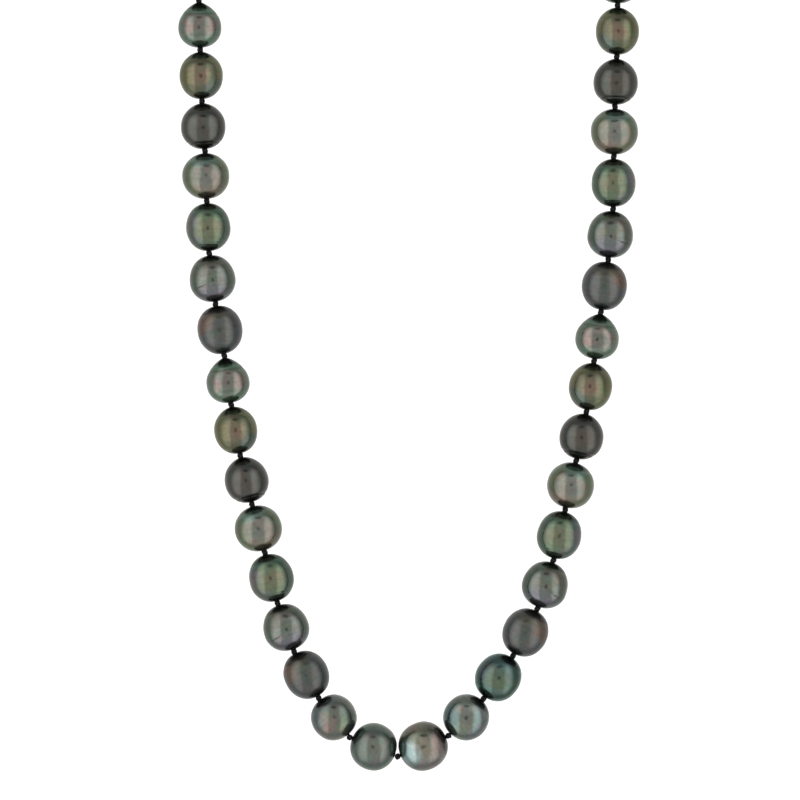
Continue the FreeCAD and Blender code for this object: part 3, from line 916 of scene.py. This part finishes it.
# ---------------------------------------------------------------- studio

# The studio is in metres. The camera looks straight down on a place this far from the middle knot,
# at the pearls' height.
AIM = (0.00049, 0.0727)
PEARL_HEIGHT = 0.0047
CAMERA_DISTANCE = 1.15
VIEW_WIDTH = 0.1632
SENSOR = 36.0
CLIP = (0.05, 50.0)

camera_data = bpy.data.cameras.new("camera")
camera_data.sensor_width = SENSOR
camera_data.lens = SENSOR * CAMERA_DISTANCE / VIEW_WIDTH
camera_data.clip_start, camera_data.clip_end = CLIP
camera = bpy.data.objects.new("camera", camera_data)
bpy.context.scene.collection.objects.link(camera)
middle = entry["left_01"] * MM
camera.location = (middle[0] + AIM[0], middle[1] + AIM[1], PEARL_HEIGHT + CAMERA_DISTANCE)
bpy.context.scene.camera = camera

# The white sheet. A lifted arm hangs far down, so it lies under the arm's lowest place.
FLOOR = -0.14
FLOOR_HALF = 12.0
FLOOR_GREY = 0.62
FLOOR_GLOW = 0.60
sheet = Nodes("studio_floor")
sheet.set(Base_Color=(*grey(FLOOR_GREY), 1.0), Roughness=0.9)
sheet.set(Emission_Color=(*grey(1), 1), Emission_Strength=FLOOR_GLOW)
corners = np.array([(-1, -1), (1, -1), (1, 1), (-1, 1)]) * FLOOR_HALF
corners = np.column_stack([corners, np.full(4, FLOOR)]) / MM
floor = make_object("floor", corners, [(0, 1, 2, 3)], smooth=False)
floor.data.materials.append(sheet.material)
floor.visible_glossy = False

# The light for gloss: a tent overhead, brighter at its two sides than in the middle, with a small
# hole for the lens and a dark stand at the back, and a softer, dimmer horizon all round. It is laid
# out by the tilt of a surface that faces up and mirrors it: 0 is the zenith and 0.707 the horizon.
# An oval is (half-width across, half-width along, x, y, exponent), and it fades between two sizes.
TENT = (0.605, 0.590, -0.02, -0.06, 2.8)
TENT_FADE = (0.45, 1.45)
TENT_MIDDLE = 1.32
TENT_SIDES = 2.50
TENT_SPLIT = (0.22, 0.30)
FOLDS = (1.0, 3.0)
FOLDS_STRETCH = (16.0, 3.0, 3.0)
FOLDS_LIMITS = (0.25, 0.75)
FOLDS_SHADES = (0.90, 1.10)
STAND = (0.150, 0.070, 0.0, 0.450, 2.0)
STAND_FADE = (0.6, 1.4)
STAND_SHADE = 0.20
LENS = (0.062, 0.062, 0.0, 0.0, 2.0)
LENS_FADE = (0.6, 1.6)
LENS_SHADE = 0.25
HORIZON = 0.76
HORIZON_LEAN = (-0.25, -0.22)
HORIZON_FADE = (-0.1, 0.1)
BELOW = 0.70

light = Nodes("studio_light")
way = light.vector("NORMALIZE", light.place())
half_way = light.vector("NORMALIZE", light.vector("ADD", way, (0.0, 0.0, 1.0)))
to = light.split(half_way)


def times(a, b):
    return light.math("MULTIPLY", a, b)


def oval(across, along, x, y, exponent):
    """Under 1 inside an oval of these half-widths round (x, y)."""
    u = light.math("DIVIDE", light.math("SUBTRACT", to["X"], x), across)
    v = light.math("DIVIDE", light.math("SUBTRACT", to["Y"], y), along)
    u, v = (light.math("POWER", light.math("ABSOLUTE", value), exponent) for value in (u, v))
    return light.math("ADD", u, v)


tent = light.step(light.math("ABSOLUTE", to["X"]), *TENT_SPLIT, TENT_MIDDLE, TENT_SIDES)
folds = light.noise(light.vector("MULTIPLY", half_way, FOLDS_STRETCH), *FOLDS)
tent = times(tent, light.step(folds, *FOLDS_LIMITS, *FOLDS_SHADES))
tent = times(tent, light.step(oval(*STAND), *STAND_FADE, STAND_SHADE, 1.0))
tent = times(tent, light.step(oval(*LENS), *LENS_FADE, LENS_SHADE, 1.0))
lean = light.math("ADD", *(times(to[axis], by) for axis, by in zip("XY", HORIZON_LEAN)))
sky = light.math("ADD", lean, HORIZON)
horizon = light.step(light.split(way)["Z"], *HORIZON_FADE, BELOW, sky)
share = light.step(oval(*TENT), *TENT_FADE, 1.0, 0.0)
outside = times(horizon, light.math("SUBTRACT", 1.0, share))
glow = light.math("ADD", times(tent, share), outside)
emission = light.add("ShaderNodeEmission", {"Strength": glow})
surface = light.tree.nodes["Material Output"].inputs["Surface"]
light.tree.links.new(emission.outputs[0], surface)
light.material.cycles.emission_sampling = "NONE"

# The dome that carries it, from nearly straight down up to the zenith.
DOME_RADIUS = 4.0
DOME_LOWEST = math.radians(179.0)
DOME_RINGS, DOME_AROUND = 24, 48

tilt = np.linspace(DOME_LOWEST, 0, DOME_RINGS + 1)[:, None]
turn = np.linspace(0, 2 * math.pi, DOME_AROUND, endpoint=False)
x, y = np.sin(tilt) * np.cos(turn), np.sin(tilt) * np.sin(turn)
points = np.stack([x, y, np.broadcast_to(np.cos(tilt), x.shape)], axis=-1)
points = points.reshape(-1, 3) * DOME_RADIUS / MM
dome = make_object("studio_dome", points, ring_faces(DOME_RINGS + 1, DOME_AROUND, flip=True))
dome.data.materials.append(light.material)
for ray in ("camera", "diffuse", "transmission", "shadow"):
    setattr(dome, "visible_" + ray, False)

# The even light for everything but gloss.
WORLD_GREY = 0.92
world = bpy.data.worlds.new("world")
bpy.context.scene.world = world
world.use_nodes = True
world.cycles_visibility.glossy = False
world.node_tree.nodes["Background"].inputs[0].default_value = (*grey(WORLD_GREY), 1.0)
bpy.context.scene.view_settings.view_transform = "Standard"
